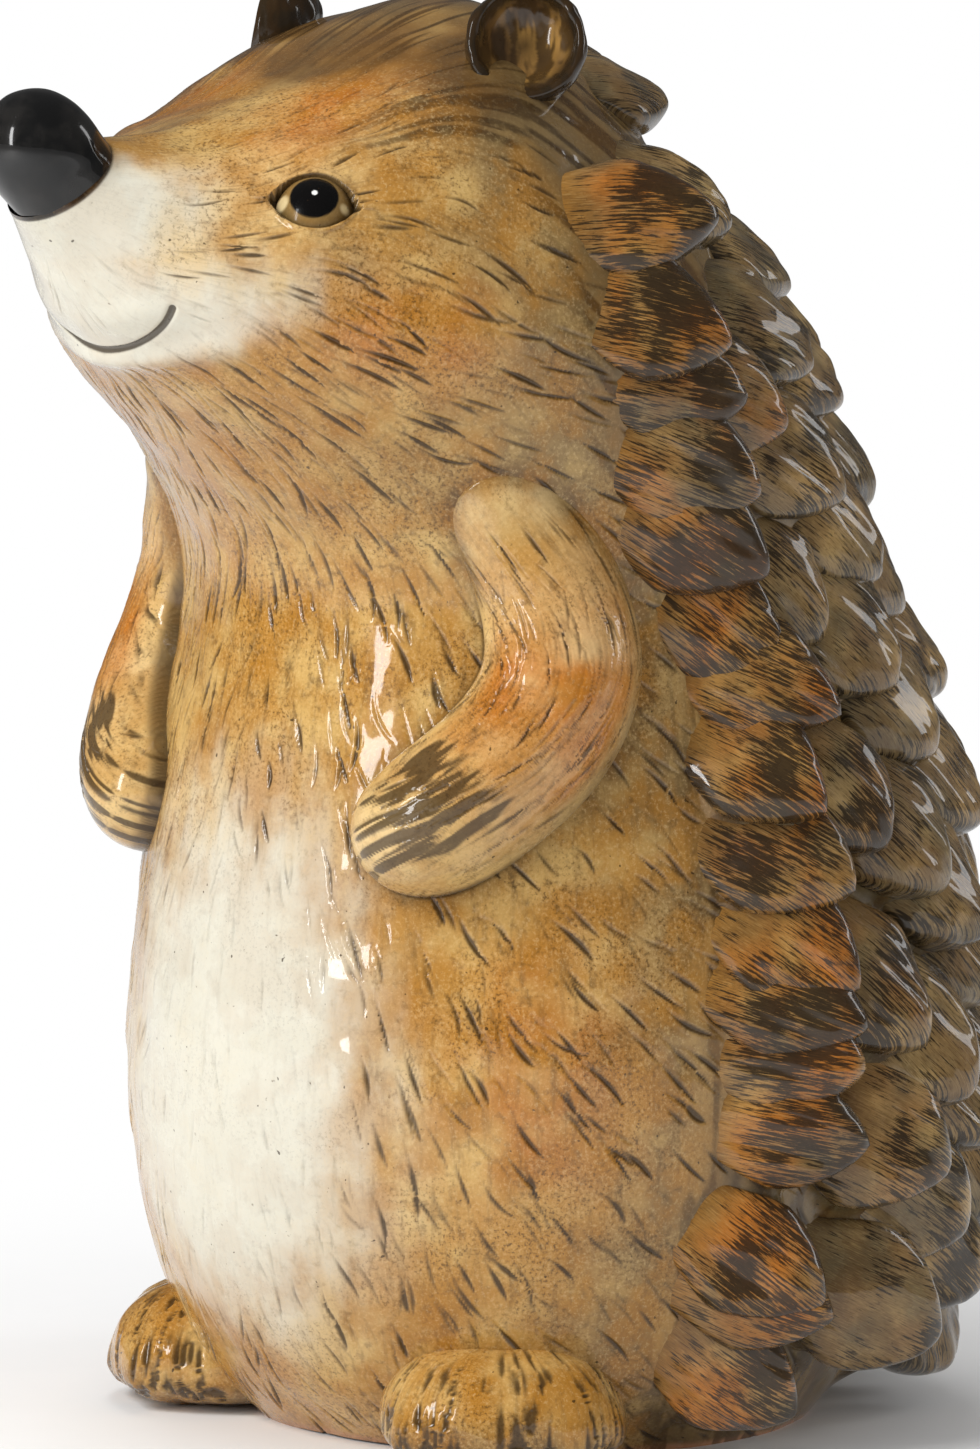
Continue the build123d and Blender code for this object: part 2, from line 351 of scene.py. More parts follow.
class Nodes:
    """A node tree, and the kinds of node that the looks are made of."""

    def __init__(self, tree):
        self.tree = tree

    def join(self, value, socket):
        """Give a socket a number, a colour or a link."""
        if isinstance(value, (int, float)):
            socket.default_value = value
        elif isinstance(value, (tuple, np.ndarray)):
            socket.default_value = (*value, 1.0)
        else:
            self.tree.links.new(value, socket)

    def add(self, kind, **settings):
        node = self.tree.nodes.new("ShaderNode" + kind)
        for key, value in settings.items():
            if key in node.inputs:
                self.join(value, node.inputs[key])
            else:
                setattr(node, key, value)
        return node

    def attribute(self, name, output="Fac"):
        return self.add("Attribute", attribute_name=name).outputs[output]

    def math(self, operation, a, b):
        node = self.add("Math", operation=operation)
        self.join(a, node.inputs[0])
        self.join(b, node.inputs[1])
        return node.outputs[0]

    def blend(self, a, a_share, b, b_share):
        return self.math("ADD", self.math("MULTIPLY", a, a_share), self.math("MULTIPLY", b, b_share))

    def ramp(self, value, low, high, to_low=0.0, to_high=1.0):
        node = self.add("MapRange", interpolation_type="SMOOTHSTEP")
        names = ("Value", "From Min", "From Max", "To Min", "To Max")
        for name, number in zip(names, (value, low, high, to_low, to_high)):
            self.join(number, node.inputs[name])
        return node.outputs["Result"]

    def mix(self, factor, a, b):
        node = self.add("Mix", data_type="RGBA")
        for index, value in ((0, factor), (6, a), (7, b)):
            self.join(value, node.inputs[index])
        return node.outputs[2]

    def mix_shader(self, factor, a, b):
        node = self.add("MixShader")
        for socket, value in zip(node.inputs, (factor, a.outputs[0], b.outputs[0])):
            self.join(value, socket)
        return node

    def noise(self, vector, scale, detail=4.0, roughness=0.6):
        node = self.add("TexNoise", Vector=vector, Scale=scale, Detail=detail, Roughness=roughness)
        return node.outputs["Fac"]

    def layer(self, colour, pigment, source, low, high, to_low, to_high, *limits):
        """A pigment over a colour where a value lies in a range, held back by any limits."""
        factor = self.ramp(source, low, high, to_low, to_high)
        for limit in limits:
            factor = self.math("MULTIPLY", factor, limit)
        return self.mix(factor, colour, pigment)

    def bump(self, shader, height, strength, distance):
        bump = self.add("Bump", Strength=strength, Distance=distance, Height=height)
        self.join(bump.outputs["Normal"], shader.inputs["Normal"])


def new_material(name):
    """A material, its nodes, its shader and the places on its object."""
    material = bpy.data.materials.new(name)
    material.use_nodes = True
    nodes = Nodes(material.node_tree)
    shader = material.node_tree.nodes["Principled BSDF"]
    return material, nodes, shader, nodes.add("TexCoord").outputs["Object"]


def glaze(nodes, shader, colour, height, roughness, distance=0.0003, coat=0.75):
    """A clear gloss glaze over the painted colour."""
    nodes.join(colour, shader.inputs["Base Color"])
    nodes.join(roughness, shader.inputs["Roughness"])
    nodes.join(coat, shader.inputs["Coat Weight"])
    for key, value in (("Specular IOR Level", 0.12), ("Coat Roughness", 0.045), ("Coat IOR", 1.5)):
        nodes.join(value, shader.inputs[key])
    nodes.bump(shader, height, 0.35, distance)


def painted_material(name, coat=0.75):
    """Brushed underglaze with scratched lines, specks and pinholes under a gloss glaze."""
    material, nodes, shader, place_on = new_material(name)
    wash = nodes.noise(place_on, 75.0, 6.0, 0.62)
    fine = nodes.noise(place_on, 420.0)
    streak = nodes.noise(nodes.attribute("Flow", "Vector"), 1.0, 5.0)
    speck = nodes.noise(place_on, 900.0, 2.0, 0.5)
    pinhole = nodes.noise(place_on, 620.0, 1.0, 0.5)
    grain = nodes.noise(place_on, 1300.0, 3.0, 0.7)
    patchy = nodes.ramp(nodes.noise(place_on, 48.0, 3.0), 0.42, 0.62, 0.15, 1.0)
    thin = nodes.math("SUBTRACT", 1.0, nodes.attribute("Bare"))
    colour = nodes.layer(nodes.attribute("Paint", "Color"), OCHRE, wash, 0.38, 0.60, 0.62, 0.0, thin)
    colour = nodes.layer(colour, BUFF, wash, 0.52, 0.74, 0.0, 0.5, thin)
    colour = nodes.layer(colour, UMBER, streak, 0.49, 0.74, 0.0, 0.40, thin)
    colour = nodes.layer(colour, UMBER, fine, 0.52, 0.74, 0.0, 0.50, thin)
    colour = nodes.layer(colour, UMBER, grain, 0.52, 0.66, 0.0, 0.8, patchy, thin)
    colour = nodes.layer(colour, PALE, grain, 0.50, 0.30, 0.0, 0.3, thin)
    colour = nodes.layer(colour, UMBER, speck, 0.70, 0.80, 0.0, 0.55)
    colour = nodes.layer(colour, STAIN, pinhole, 0.765, 0.80, 0.0, 0.8)
    rough_edge = nodes.math("MULTIPLY", nodes.math("SUBTRACT", fine, 0.58), 0.25)
    scratched = nodes.math("ADD", nodes.attribute("Groove"), rough_edge)
    colour = nodes.layer(colour, STAIN, scratched, 0.05, 0.95, 0.0, 0.84)
    roughness = nodes.ramp(wash, 0.3, 0.7, 0.16, 0.34)
    coat = nodes.ramp(nodes.attribute("Valley"), 0.0, 1.0, coat, 0.1)
    glaze(nodes, shader, colour, nodes.blend(fine, 0.6, streak, 0.4), roughness, coat=coat)
    return material


def spine_material():
    """Pale scales with charcoal brushed along them, rusty near the fur."""
    material, nodes, shader, place_on = new_material("spine_glaze")
    flow = nodes.attribute("Flow", "Vector")
    bristle = nodes.noise(flow, 1.0, 6.0, 0.65)
    hair = nodes.noise(flow, 2.6, 3.0)
    wash = nodes.noise(place_on, 90.0, 5.0)
    fine = nodes.noise(place_on, 900.0, 4.0, 0.65)
    colour = nodes.layer(nodes.attribute("Paint", "Color"), UMBER, wash, 0.40, 0.62, 0.45, 0.0)
    colour = nodes.layer(colour, UMBER, hair, 0.50, 0.66, 0.0, 0.6)
    colour = nodes.layer(colour, SAND, hair, 0.46, 0.32, 0.0, 0.3)
    brushed = nodes.math("MULTIPLY", nodes.math("SUBTRACT", bristle, 0.5), 2.6)
    # The charcoal level carries brushed stain and also painted shade on the spines' undersides.
    level = nodes.math("ADD", nodes.attribute("StainAndShade"), brushed)
    colour = nodes.layer(colour, CHARCOAL, level, 0.36, 0.54, 0.0, 0.9)
    colour = nodes.layer(colour, STAIN, fine, 0.62, 0.74, 0.0, 0.5)
    roughness = nodes.ramp(wash, 0.3, 0.7, 0.17, 0.36)
    glaze(nodes, shader, colour, nodes.blend(bristle, 0.7, fine, 0.3), roughness, 0.0006)
    return material


def black_material():
    material, nodes, shader, place_on = new_material("black_glaze")
    wash = nodes.noise(place_on, 140.0)
    colour = nodes.layer(INK, linear(42, 40, 38), wash, 0.4, 0.7, 0.0, 0.6)
    fine = nodes.noise(place_on, 700.0, 3.0)
    glaze(nodes, shader, colour, fine, nodes.ramp(wash, 0.3, 0.7, 0.10, 0.22), 0.00012)
    return material


def clay_material():
    material, nodes, shader, place_on = new_material("bare_clay")
    wash = nodes.noise(place_on, 60.0, 6.0, 0.65)
    grit = nodes.noise(place_on, 900.0, 3.0)
    colour = nodes.layer(linear(176, 126, 92), linear(208, 162, 124), wash, 0.35, 0.65, 0.0, 1.0)
    colour = nodes.layer(colour, linear(120, 84, 60), grit, 0.62, 0.75, 0.0, 0.6)
    nodes.join(colour, shader.inputs["Base Color"])
    nodes.join(0.85, shader.inputs["Roughness"])
    nodes.bump(shader, grit, 0.5, 0.0004)
    return material


FUR = painted_material("fur_glaze")
LIMB = painted_material("limb_glaze")
EAR = painted_material("ear_glaze")
EYE = painted_material("eye_glaze", 0.25)
BACK = painted_material("back_glaze")
SPINE = spine_material()
BLACK = black_material()
BARE_CLAY = clay_material()


# Scratched strokes

def stroke_lines(surface, station, angle, length, slant, bow, mm_per_station, mm_per_degree):
    """Sample points along tapered strokes on a surface, and how far along each one they are."""
    s = np.linspace(-0.5, 0.5, STROKE_SAMPLES)[None]
    side = np.sign(angle)[:, None]
    turn = np.radians(slant[:, None] + bow[:, None] * s)
    way = s * length[:, None]
    t = station[:, None] - way * np.cos(turn) / mm_per_station[:, None]
    a = angle[:, None] + side * way * np.sin(turn) / mm_per_degree[:, None]
    return surface(t, a), 2 * s + np.zeros_like(t)


def groove_field(points, lines, taper, width, depth):
    """Depth and darkness of the strokes at each point."""
    flat = lines.reshape(-1, 3)
    tree = kdtree.KDTree(len(flat))
    for index, co in enumerate(flat):
        tree.insert(co, index)
    tree.balance()
    past = taper - STROKE_WIDEST
    share = np.where(past > 0, 1 - (past / 0.75) ** 2, 1 - np.abs(past / 1.25) ** 1.6)
    share = np.clip(share, 0.0, 1.0)
    half = (width[:, None] * share**0.8 / 2).ravel() + 0.08
    strength = (depth[:, None] * (0.35 + 0.65 * ease(-0.7, 0.35, taper)) * np.sqrt(share)).ravel()
    nearest = np.zeros(len(points), int)
    distance = np.full(len(points), 99.0)
    for index, co in enumerate(points):
        found = tree.find(co)
        nearest[index] = found[1]
        distance[index] = found[2]
    d = distance / half[nearest]
    cut = np.clip(1 - d * d, 0, 1) ** 1.5 * strength[nearest]
    lip = np.exp(-(((d - 1.35) / 0.4) ** 2)) * strength[nearest] * 0.22
    dark = np.exp(-0.9 * d * d) * np.minimum(strength[nearest] / 0.42, 1.3)
    return cut - lip, dark


# Arms as rolls lying on the skin

ARM_LINE = limb_curve(ARM_JOINTS, ARM_SAMPLES)


def arm_frame(side):
    """Middle line of an arm on the skin, with its half width and the way across it in skin terms."""
    station, angle = ARM_LINE[:, 0], ARM_LINE[:, 1] * side
    p, out, down, around = skin_axes(station, angle)
    across = unit(np.cross(out, np.gradient(p, axis=0))) * side
    mm_station, mm_degree = skin_scale(station, angle)
    step_station = -np.sum(across * down, axis=1) / mm_station
    step_angle = np.sum(across * around, axis=1) / mm_degree
    return p, across, step_station, step_angle


def melted(along, beside):
    """1 where an arm runs softly into the body: at the shoulder and along its outer side."""
    outer = ease(-4, 10, beside) * ease(0.92, 0.62, along)
    return np.maximum(outer, ease(0.34, 0.12, along))


def arm_field(points, side):
    """Fullness of an arm (1 on its middle line, 0 at its edge), place along it and way across it."""
    middle, across, _, _ = arm_frame(side)
    sharp = 7.0
    total = np.zeros(len(points))
    along = np.zeros(len(points))
    height = np.zeros(len(points))
    beside = np.zeros(len(points))
    for k in range(ARM_SAMPLES):
        d = points - middle[k]
        fullness = 1 - np.sum(d * d, axis=1) / ARM_LINE[k, 2] ** 2
        share = np.exp(sharp * np.maximum(fullness, -6))
        total += share
        along += share * k / (ARM_SAMPLES - 1)
        height += share * ARM_LINE[k, 3]
        beside += share * (d @ across[k])
    total = np.maximum(total, 1e-30)
    full = np.log(total / 9.0) / sharp
    return full, along / total, height / total, beside / total


# Spine layout

def fringe_angle(station):
    return np.interp(station, FRINGE_STATIONS, FRINGE_ANGLES)


def spine_places(row):
    """Station and angle of each spine in a row, on both sides of the back."""
    first = SPINE_PITCH_ANGLE / 2 if row % 2 else 0.0
    places = []
    for step in range(6):
        offset = first + SPINE_PITCH_ANGLE * step
        station = LOWEST_SPINE_STATION + row * SPINE_STATION_STEP - SPINE_ROW_DROP * (offset / 90) ** 2
        in_rows = LOWEST_SPINE_STATION <= station <= HIGHEST_SPINE_STATION
        if in_rows and 180 - offset >= fringe_angle(station) + FRINGE_ROOM:
            places.append((station, 180 - offset))
            if offset > 0:
                places.append((station, 180 + offset))
    return places


# Body

def body_stations():
    """Stations spaced evenly along the side of the body."""
    t = np.linspace(0, LAST_STATION, 2000)
    length = 0
    for angle in (20.0, 75.0):
        step = np.linalg.norm(np.diff(skin(t, angle), axis=0), axis=1)
        length = length + np.concatenate([[0], np.cumsum(step)])
    return np.interp(np.linspace(0, length[-1], BODY_ROWS), length, t)


def eye_coordinates(points, side):
    """Places across and along an eye, and height over its middle."""
    p, out, _, _ = axes_at(EYE_STATION, EYE_ANGLE * side)
    level = unit(np.cross(UPWARD, out))
    rise = unit(np.cross(out, level))
    tilt = np.radians(-6.0) * side
    ahead = level * np.cos(tilt) + rise * np.sin(tilt)
    above = np.cross(out, ahead)
    d = points - p
    return d @ ahead, d @ above, d @ out


def almond(across, up):
    """0 in the middle of the eye, 1 on its lids."""
    along = np.abs(across) / EYE_HALF_LENGTH
    half_up = np.where(up > 0, 6.3, 5.6) * np.clip(1 - along**2.2, 0.02, 1)
    return np.maximum(np.abs(up) / half_up, along)


def mouth_line():
    """The smile, from one corner of the mouth to the other, with small upturned ends."""
    a = np.linspace(-MOUTH_HALF_ANGLE, MOUTH_HALF_ANGLE, 120)
    t = 8.90 + 0.54 * (np.abs(a) / MOUTH_HALF_ANGLE) ** 1.7
    return skin(t, a)


def sculpt(points, out, station, angle):
    """Soft modelling of the face, chest and belly over the plain skin."""
    side = side_of(angle)
    moved = points + out * (0.8 * noise(points, 34.0, 3) + 0.35 * noise(points, 11.0, 5))[..., None]
    height = np.zeros(points.shape[:-1])
    flat = points.reshape(-1, 3)
    for s in (1, -1):
        across, up, over = eye_coordinates(flat, s)
        close = (np.abs(across) < 24) & (np.abs(up) < 24) & (np.abs(over) < 22)
        brow = mound(across * s, up, (1.0, 13.0), (14.0, 5.5)) * 1.7
        pouch = mound(across * s, up, (0, -10.5), (11.0, 3.6)) * 1.3
        lid = almond(across, up)
        rim = np.exp(-(((lid - 1.14) / 0.17) ** 2)) * 0.8
        hole = -3.2 * ease(1.04, 0.9, lid)
        height += np.where(close, brow + pouch + rim + hole, 0).reshape(height.shape)
    cheek = mound(station, side, (8.3, 62), (0.7, 26)) * 2.6
    chin = mound(station, side, (8.65, 0), (0.22, 30)) * 1.6
    lip = mound(station, side, (9.5, 20), (0.35, 16)) * 1.0
    bridge = -mound(station, side, (11.0, 150), (0.5, 40)) * 1.6
    belly = mound(station, side, (3.0, 0), (1.1, 42)) * 2.0
    throat = -mound(station, side, (6.3, 0), (0.5, 36)) * 1.5
    height += cheek + chin + lip + bridge + belly + throat
    return moved + out * height[..., None]


def fur_slant(station, side):
    """How far the strokes lean to the back, in degrees from straight down the body."""
    low = 12 + 36 * ease(10, 76, side)
    head = 4 + 8 * ease(40, 90, side)
    return low + (head - low) * ease(7.4, 8.8, station)


def fur_strokes():
    """Centres and sizes of the scratched strokes over the face, chest, belly and flanks."""
    t = np.linspace(0, LAST_STATION, 900)
    length = np.concatenate([[0], np.cumsum(np.linalg.norm(np.diff(skin(t, 60.0), axis=0), axis=1))])
    stations = []
    angles = []
    for row, along in enumerate(np.arange(4, length[-1] - 18, FUR_ROW_GAP)):
        middle = np.interp(along, length, t)
        girth = np.radians(1) * np.linalg.norm(skin(middle, 90.0) - skin(middle, -90.0)) / 2
        step = FUR_STROKE_GAP / girth
        count = int(2 * FUR_REACH_ANGLE / step)
        a = step * (np.arange(count) + 0.5 * (row % 2)) + rng.normal(0, 0.36 * step, count)
        a = a - FUR_REACH_ANGLE
        stations.append(np.full(count, middle) + rng.normal(0, 0.09, count))
        angles.append(a)
    station = np.clip(np.concatenate(stations), 0.15, LAST_STATION - 1.1)
    angle = np.concatenate(angles)
    side = np.abs(angle)
    keep = rng.random(len(side)) < 0.86 - 0.25 * ease(9.9, 10.9, station)
    keep &= side < 104 + 46 * ease(7.9, 8.7, station)
    station, angle, side = station[keep], angle[keep], side[keep]
    p = skin(station, angle)
    mm_station, mm_degree = skin_scale(station, angle)
    count = len(side)
    head = ease(8.6, 9.8, station)
    length = rng.uniform(9.0, 19.0, count) * (1 - 0.2 * head)
    width = rng.uniform(0.65, 1.2, count) * (1 - 0.25 * head)
    depth = 0.16 + 0.48 * rng.random(count) ** 1.4
    pale = white_mask(p, station, side)
    depth *= (1 - 0.72 * pale) * (1 - 0.35 * ease(95, 115, side))
    slant = fur_slant(station, side) + rng.normal(0, 8, count)
    bow = rng.normal(0, 16, count)
    lines, taper = stroke_lines(skin, station, angle, length, slant, bow, mm_station, mm_degree)
    return lines, taper, width, depth


def white_mask(points, station, side):
    """Where the snout, throat and belly are left cream."""
    snout = ease(9.5, 10.9, station - 0.012 * np.maximum(side - 50, 0)) * ease(150, 100, side)
    muzzle = ease(8.15, 8.75, station - 0.006 * side) * ease(74, 26, side)
    belly = ease(1.35, 0.5, np.hypot((station - 3.1) / 1.75, side / 31))
    wander = 0.16 * noise(points, 14.0, 21) + 0.20 * noise(points * np.array([1, 1, 0.25]), 4.0, 23)
    pale = np.maximum(np.maximum(snout, muzzle), belly)
    return np.clip(pale + wander * np.clip(4 * pale * (1 - pale), 0, 1), 0, 1)


def body_paint(points, station, angle, full, soft):
    side = side_of(angle)
    wide = noise(points, 30.0, 31)
    small = noise(points, 9.0, 33)
    paint = tint(BUFF, TAN, 0.5 + 0.6 * wide)
    paint = tint(paint, OCHRE, 0.25 + 0.55 * small, 0.8)
    warm = mound(station, side, (8.15, 60), (0.5, 17)) * 1.1
    warm += mound(station, side, (3.2, 57), (0.8, 16)) * 1.0
    warm += mound(station, side, (9.75, 132), (0.6, 30)) * 1.0
    paint = tint(paint, RUST, warm * (0.75 + 0.5 * small), 0.9)
    face = ease(8.5, 9.6, station - 0.01 * np.maximum(side - 40, 0)) * ease(150, 90, side)
    paint = tint(paint, PALE, face * (0.62 + 0.5 * wide), 0.85)
    past_edge = side - fringe_angle(station)
    # Behind the fur's edge and in a patch over the shoulder the skin is darkened with umber and olive: dark
    # paint under the spines, deepened as painted shade.
    back_paint_and_shade = 0.55 * ease(-16, 2, past_edge) + 0.4 * ease(0, 8, past_edge)
    back_paint_and_shade = back_paint_and_shade * ease(9.2, 8.9, station - 0.012 * np.maximum(side - 104, 0))
    back_paint_and_shade = np.maximum(back_paint_and_shade, 0.55 * mound(station, side, (6.9, 58), (0.5, 34)))
    paint = tint(paint, UMBER, back_paint_and_shade * (0.85 + 0.5 * small), 0.95)
    paint = mix(paint, OLIVE, 0.85 * ease(2, 9, past_edge) * ease(9.3, 8.9, station))
    haze = ease(22, 70, side) * ease(4.6, 6.2, station) * ease(9.9, 9.2, station)
    haze = np.clip(haze * (0.45 + 0.6 * wide + 0.3 * small), 0, 0.8)
    paint = mix(paint, HAZE, haze * np.clip(1 - 0.8 * warm, 0, 1))
    edge_haze = 0.6 * ease(-30, -5, past_edge) * ease(9.2, 8.8, station)
    paint = tint(paint, HAZE, edge_haze * (0.9 + 0.6 * small), 0.8)
    crown = mound(station, side, (9.2, 128), (0.45, 26))
    paint = tint(paint, UMBER, crown * (0.5 + 0.5 * small), 0.7)
    pale = white_mask(points, station, side)
    paint = mix(paint, CREAM, pale)
    pooled = ease(-0.10, -0.01, full) * (1 - soft)
    shadowed = (0.35 + 0.35 * soft) * ease(-0.7, 0.0, full) * (1 - 0.6 * pale)
    paint = tint(paint, UMBER, shadowed * (0.9 + 0.5 * small), 0.85)
    paint = mix(paint, STAIN, pooled * 0.8)
    paint = mix(paint, INK, ease(11.80, 11.86, station))
    foot = ease(2.0, 0.5, points[:, 2])
    paint = mix(paint, CLAY, foot)
    plain = np.maximum(back_paint_and_shade * ease(-4, 4, past_edge), pooled)
    return paint, np.maximum(0.8 * pale, 0.85 * np.clip(plain, 0, 1))


def build_shell(name, material, angles, strokes, floor):
    """One half of the body, with its strokes, mouth, lids, arm shadows and valleys."""
    mouth = mouth_line()
    station, angle = np.meshgrid(body_stations(), angles, indexing="ij")
    plain, out, _, _ = skin_axes(station, angle)
    shaped = sculpt(plain, out, station, angle)
    flat = shaped.reshape(-1, 3)
    base = plain.reshape(-1, 3)
    normal = out.reshape(-1, 3)
    flat_station, flat_angle = station.ravel(), angle.ravel()
    flat_side = side_of(flat_angle)
    cut, dark = np.zeros(len(base)), np.zeros(len(base))
    furred = (flat_side < 106) | (flat_station > 7.8)
    cut[furred], dark[furred] = groove_field(base[furred], *strokes)
    near_mouth = (flat_station > 8.4) & (flat_station < 9.9) & (flat_side < 48)
    smile = np.full(len(base), 99.0)
    smile[near_mouth] = np.min(np.linalg.norm(base[near_mouth, None, :] - mouth[None], axis=2), axis=1)
    cut = cut * ease(2.0, 5.0, smile) + 0.9 * np.exp(-((smile / 0.75) ** 2))
    dark = np.maximum(dark * ease(2.0, 5.0, smile), 1.3 * ease(1.05, 0.45, smile))
    for s in (1, -1):
        across, up, over = eye_coordinates(base, s)
        lid = np.where(np.abs(over) < 20, almond(across, up), 9.0)
        calm = ease(1.1, 1.7, lid)
        cut *= calm
        dark = np.maximum(dark * calm, 1.2 * ease(1.13, 1.0, lid))
    full = np.full(len(base), -9.0)
    soft = np.zeros(len(base))
    by_arm = (flat_station > 3.9) & (flat_station < 7.2) & (flat_side > 12) & (flat_side < 88)
    for s in (1, -1):
        fullness, along, _, beside = arm_field(base[by_arm], s)
        soft[by_arm] = np.where(fullness > full[by_arm], melted(along, beside), soft[by_arm])
        full[by_arm] = np.maximum(full[by_arm], fullness)
    paint, bare = body_paint(base, flat_station, flat_angle, full, soft)
    rise = valley_height(floor, flat_station, flat_angle) * ease(4, 24, base[:, 2])
    valley = ease(0.3, 2.5, rise)
    nape = ease(6.0, 7.4, flat_station)
    rise = rise * (1 - 0.6 * nape)
    # The valleys between the spines are darkened with olive and pebble: dark clay paint, deepened as
    # painted shade.
    paint = mix(paint, mix(OLIVE, PEBBLE, np.clip(0.1 + 0.5 * noise(base, 7.0, 37), 0, 1)), 0.92 * valley)
    bare = np.maximum(bare, 0.6 * valley)
    combed = np.stack([np.radians(flat_angle) * BODY_GIRTH_RADIUS, flat_station * 4.2, 0 * flat_station], 1)
    behind = ease(-6, 4, flat_side - fringe_angle(flat_station))
    behind = np.maximum(behind * ease(9.9, 9.3, flat_station), valley)
    streaked = behind * ease(-0.05, 0.3, noise(combed, 2.2, 39))
    # Brushed stain streaks behind the fur's edge, with an even darkening at the nape that is painted shade
    # under the spines.
    paint = tint(paint, STAIN, 0.7 * streaked + 0.25 * nape * behind, 0.9)
    dark = dark * (1 - 0.15 * valley)
    flat = flat + normal * (rise - cut * (1 - 0.2 * valley))[:, None]
    flow = [np.radians(flat_angle) * BODY_GIRTH_RADIUS * 0.55, flat_station * 35 * 0.07, base[:, 2] * 0.02]
    values = {
        "Paint": paint,
        "Groove": np.clip(dark, 0, 1.4),
        "Flow": np.stack(flow, 1),
        "Bare": np.clip(bare, 0, 1),
        "Valley": valley,
    }
    place_grid(name + "_skin", flat, station.shape, False, values, material, name)


def build_body():
    front = np.linspace(-SEAM_ANGLE, SEAM_ANGLE, FRONT_COLUMNS)
    back = np.linspace(SEAM_ANGLE, 360 - SEAM_ANGLE, BACK_COLUMNS)
    strokes = fur_strokes()
    floor = valley_floor()
    build_shell("front_shell", FUR, front, strokes, floor)
    build_shell("back_shell", BACK, back, strokes, floor)


def spine_shape(station, angle, size, tilt, fringe):
    """Points of one plump spine, and the values its paint needs."""
    along_count, around_count = SPINE_GRID
    s = np.linspace(0, 1, along_count)
    turn = np.linspace(0, 2 * np.pi, around_count, endpoint=False)
    p, out, down, around = axes_at(station, angle)
    turned = np.mod(angle, 360)
    if fringe:
        sweep = np.sign(180 - turned) * (64 - 32 * ease(4.0, 7.5, station))
        stretch = 1.24
        tilt = tilt - 6.0 * ease(5.6, 7.4, station)
    else:
        sweep = SPINE_SWEEP * (1.25 - 0.70 * ease(2.5, 7.0, station)) * (180 - turned) / 90
        stretch = 1 + 0.05 * ease(6.3, 7.8, station)
        tilt = tilt - 11.0 * ease(5.0, 7.0, station)
    sweep = np.radians(sweep + rng.normal(0, 6))
    lift = np.radians(tilt + rng.normal(0, 1.8))
    along = down * np.cos(sweep) + around * np.sin(sweep)
    tip_way = along * np.cos(lift) + out * np.sin(lift)
    face_way = out * np.cos(lift) - along * np.sin(lift)
    across_way = np.cross(face_way, tip_way)
    length = SPINE_LENGTH * size * stretch * rng.uniform(0.93, 1.05)
    half = SPINE_HALF_WIDTH * size * (0.4 + 0.6 * stretch) * rng.uniform(0.93, 1.06)
    thick = SPINE_THICKNESS * size * rng.uniform(0.9, 1.1)
    seed = int(rng.integers(1000))
    blunt = rng.uniform(1.2, 1.7)
    tip = np.clip(1 - np.clip((s - 0.52) / 0.48, 0, 1) ** blunt, 0, 1) ** 0.74
    body = 0.60 + 0.40 * ease(0.0, 0.55, s)
    cross = squared(np.cos(turn), 0.86)
    rise = squared(np.sin(turn), 0.9)
    bend = rng.normal(0, 0.10)
    w = half * (body * tip)[:, None] * cross[None] + half * bend * (s**2)[:, None]
    round_end = np.sqrt(np.clip(1 - np.clip((s - 0.74) / 0.26, 0, 1) ** 2.2, 0, 1))
    top = thick * 0.60 * (0.25 + 0.75 * ease(0, 0.55, s)) * round_end
    bottom = (thick * 0.35 + 9.0 * size * s) * round_end
    h = np.where(rise[None] > 0, top[:, None], bottom[:, None]) * rise[None]
    x = length * s[:, None] + 0 * w
    w[0], h[0] = 0.0, 0.0
    local = np.stack([x, w, h], -1)
    ridges = noise(local * np.array([0.14, 1.0, 0.6]), 3.4, seed % 97)
    face_up = ease(-0.3, 0.3, rise)[None]
    lump = 0.9 * noise(local, 17.0, seed % 89)
    ridges = 0.75 * ridges * ease(0.1, 0.4, s)[:, None] * round_end[:, None]
    lump = lump * ease(0, 0.2, s)[:, None]
    h = h + face_up * (ridges + lump) * np.sign(round_end)[:, None]
    sink = SPINE_SINK * size * (1.7 if fringe else 1.0 + 0.35 * ease(5.0, 7.0, station))
    points = p - out * sink + x[..., None] * tip_way + w[..., None] * across_way + h[..., None] * face_way
    flat = points.reshape(-1, 3)
    flat[:, 2] = np.maximum(flat[:, 2], SPINE_GROUND_GAP)
    edge = np.abs(cross)[None] ** 4 * np.ones_like(s)[:, None]
    from_fur = side_of(angle) - fringe_angle(station)
    front = float(ease(22, 4, from_fur))
    tone = noise(flat, 13.0, 41)
    patch = noise(flat, 6.0, 42)
    shade = rng.uniform(-0.2, 0.2)
    lit = np.clip(np.tile(rise, along_count), 0, 1)
    paint = tint(PEBBLE, SAND, (0.25 + shade + 0.6 * patch + 0.35 * tone) * lit, 0.95)
    paint = mix(paint, OCHRE, 0.55 * front * np.clip(0.6 + 0.6 * tone, 0, 1))
    rust = (0.12 + 0.75 * front) * np.clip(0.55 + shade + 0.9 * noise(flat, 8.0, 43), 0, 1)
    grown = np.repeat(ease(0.08, 0.4, s), around_count)
    paint = tint(paint, FLAME, rust * grown * (0.4 + 0.6 * lit), 0.92)
    paint = mix(paint, mix(OLIVE, OCHRE, 0.75 * front), 0.75 * (1 - grown))
    blot = noise(local, 8.0, seed % 83)
    stain_and_shade = 0.27 + 0.06 * front + 0.12 * ease(0.3, 0.8, s)[:, None] + 0.12 * edge + 0.26 * blot
    stain_and_shade = stain_and_shade + 0.10 * front * ease(0.2, 0.6, s)[:, None] - 0.25 * ease(0.3, 0.05, s)[:, None]
    # Painted shade: the stain level rises on the undersides of the spines, so they come out darker.
    stain_and_shade = stain_and_shade + 0.25 * ease(-0.2, -0.7, rise)[None]
    flow = np.stack([w * 2.1 + seed, x * 0.14, 0 * w + seed % 7], -1)
    values = {"Paint": paint, "StainAndShade": stain_and_shade.ravel(), "Flow": flow.reshape(-1, 3)}
    quads, uv = grid_quads(*SPINE_GRID, True)
    return flat, quads, uv, values


SPINE_PILE = []


